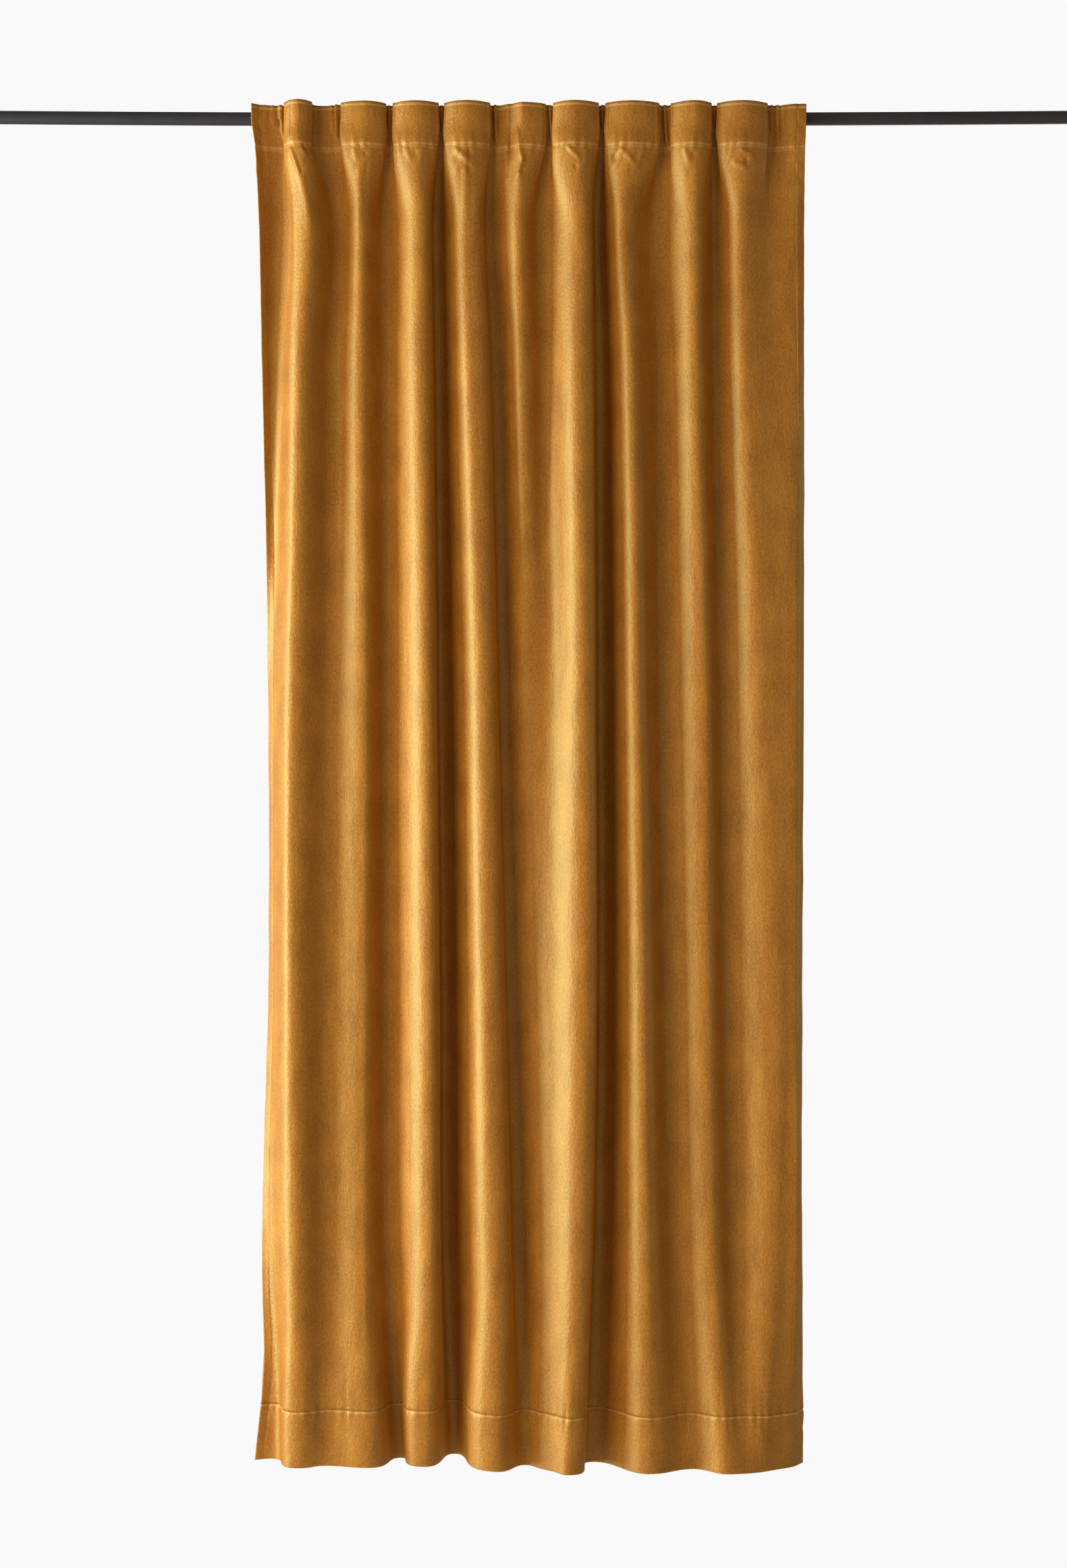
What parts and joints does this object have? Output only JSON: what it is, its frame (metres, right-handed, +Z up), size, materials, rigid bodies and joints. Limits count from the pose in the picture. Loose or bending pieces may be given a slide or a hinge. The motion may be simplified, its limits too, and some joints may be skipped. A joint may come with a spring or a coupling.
{
  "type": "velvet curtain on a rod",
  "caption": "Long velvet curtain panel with a flat stitched heading, gathered on a round metal rod by hidden back tabs, hanging in soft uneven folds to a deep hem.",
  "frame": {"origin": "on the rod's axis at the middle of its length, where the cloth's weight bows it lowest", "axes": "+Z up, +X along the rod to the viewer's right, -Y out of the cloth's face into the room, +Y towards the wall"},
  "size_m": [2, 0.1133, 2.5067],
  "materials": {
    "velvet": "cut pile, soft sheen",
    "tab_tape": "matt",
    "rod_paint": "satin"
  },
  "bodies": {
    "root": {"curtain": "velvet", "tab_01": "tab_tape", "tab_02": "tab_tape", "tab_03": "tab_tape", "tab_04": "tab_tape", "tab_05": "tab_tape", "tab_06": "tab_tape", "tab_07": "tab_tape", "tab_08": "tab_tape", "tab_09": "tab_tape", "tab_10": "tab_tape", "rod": "rod_paint"}
  },
  "joints": []
}
